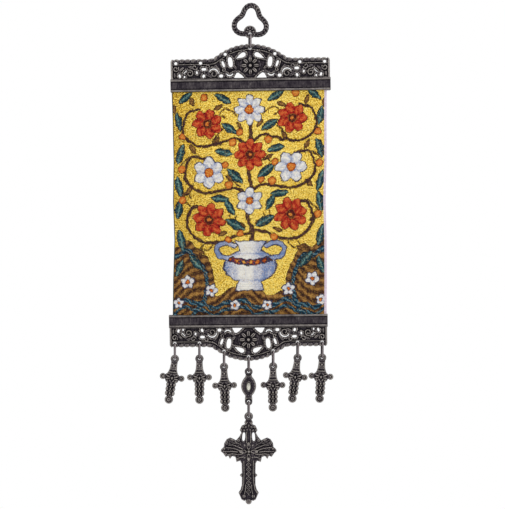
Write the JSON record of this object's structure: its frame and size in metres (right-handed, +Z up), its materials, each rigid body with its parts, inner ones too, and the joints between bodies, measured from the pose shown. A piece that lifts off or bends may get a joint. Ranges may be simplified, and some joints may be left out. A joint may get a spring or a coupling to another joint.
{
  "type": "church banner",
  "caption": "Hanging woven banner held between two pierced cast bars, with a lobed hanging ring above and small and large cross pendants on wire links below.",
  "frame": {"origin": "the point the banner hangs from, the inside top of the three-lobed ring", "axes": "+Z up along the hanging banner, -Y out of its face, +X to the right as one looks at it"},
  "size_m": [0.1406, 0.0063, 0.404],
  "materials": {
    "woven_cloth": "woven with metallic yarn",
    "antique_metal": "dark antique cast metal, worn brighter on its edges",
    "nickel_wire": "plain nickel wire"
  },
  "bodies": {
    "root": {"cloth": "woven_cloth", "top_bar": "antique_metal", "bottom_bar": "antique_metal", "hanger_ring": "antique_metal", "ring_link": "nickel_wire"},
    "link_1_body": {"link_1": "nickel_wire"},
    "cross_1_body": {"cross_1": "antique_metal"},
    "link_2_body": {"link_2": "nickel_wire"},
    "cross_2_body": {"cross_2": "antique_metal"},
    "link_3_body": {"link_3": "nickel_wire"},
    "cross_3_body": {"cross_3": "antique_metal"},
    "link_4_body": {"link_4": "nickel_wire"},
    "connector_body": {"connector": "antique_metal"},
    "link_8_body": {"link_8": "nickel_wire"},
    "large_cross_body": {"large_cross": "antique_metal"},
    "link_5_body": {"link_5": "nickel_wire"},
    "cross_5_body": {"cross_5": "antique_metal"},
    "link_6_body": {"link_6": "nickel_wire"},
    "cross_6_body": {"cross_6": "antique_metal"},
    "link_7_body": {"link_7": "nickel_wire"},
    "cross_7_body": {"cross_7": "antique_metal"}
  },
  "joints": [
    {"name": "link_1_swing", "type": "hinge", "parent": "root", "child": "link_1_body", "pos_m": [-0.06081, 0, -0.27116], "axis": [1, 0, 0], "range_deg": [-75, 75]},
    {"name": "cross_1_sway", "type": "hinge", "parent": "link_1_body", "child": "cross_1_body", "pos_m": [-0.06081, 0, -0.28152], "axis": [0, 1, 0], "range_deg": [-7, 60]},
    {"name": "link_2_swing", "type": "hinge", "parent": "root", "child": "link_2_body", "pos_m": [-0.04094, 0, -0.27099], "axis": [1, 0, 0], "range_deg": [-75, 75]},
    {"name": "cross_2_sway", "type": "hinge", "parent": "link_2_body", "child": "cross_2_body", "pos_m": [-0.04094, 0, -0.28134], "axis": [0, 1, 0], "range_deg": [-13, 12]},
    {"name": "link_3_swing", "type": "hinge", "parent": "root", "child": "link_3_body", "pos_m": [-0.02101, 0, -0.27758], "axis": [1, 0, 0], "range_deg": [-75, 75]},
    {"name": "cross_3_sway", "type": "hinge", "parent": "link_3_body", "child": "cross_3_body", "pos_m": [-0.02101, 0, -0.28793], "axis": [0, 1, 0], "range_deg": [-12, 12]},
    {"name": "link_4_swing", "type": "hinge", "parent": "root", "child": "link_4_body", "pos_m": [-0.0011, 0, -0.28214], "axis": [1, 0, 0], "range_deg": [-75, 75]},
    {"name": "connector_sway", "type": "hinge", "parent": "link_4_body", "child": "connector_body", "pos_m": [-0.0011, 0, -0.2919], "axis": [0, 1, 0], "range_deg": [-14, 14]},
    {"name": "link_8_swing", "type": "hinge", "parent": "connector_body", "child": "link_8_body", "pos_m": [-0.0011, 0, -0.31865], "axis": [1, 0, 0], "range_deg": [-75, 75]},
    {"name": "large_cross_sway", "type": "hinge", "parent": "link_8_body", "child": "large_cross_body", "pos_m": [-0.0011, 0, -0.32839], "axis": [0, 1, 0], "range_deg": [-32, 32]},
    {"name": "link_5_swing", "type": "hinge", "parent": "root", "child": "link_5_body", "pos_m": [0.01873, 0, -0.27723], "axis": [1, 0, 0], "range_deg": [-75, 75]},
    {"name": "cross_5_sway", "type": "hinge", "parent": "link_5_body", "child": "cross_5_body", "pos_m": [0.01873, 0, -0.28758], "axis": [0, 1, 0], "range_deg": [-11, 13]},
    {"name": "link_6_swing", "type": "hinge", "parent": "root", "child": "link_6_body", "pos_m": [0.03854, 0, -0.2703], "axis": [1, 0, 0], "range_deg": [-75, 75]},
    {"name": "cross_6_sway", "type": "hinge", "parent": "link_6_body", "child": "cross_6_body", "pos_m": [0.03854, 0, -0.28065], "axis": [0, 1, 0], "range_deg": [-2, 6]},
    {"name": "link_7_swing", "type": "hinge", "parent": "root", "child": "link_7_body", "pos_m": [0.05841, 0, -0.27013], "axis": [1, 0, 0], "range_deg": [-75, 75]},
    {"name": "cross_7_sway", "type": "hinge", "parent": "link_7_body", "child": "cross_7_body", "pos_m": [0.05841, 0, -0.28047], "axis": [0, 1, 0], "range_deg": [-60, 5]}
  ]
}
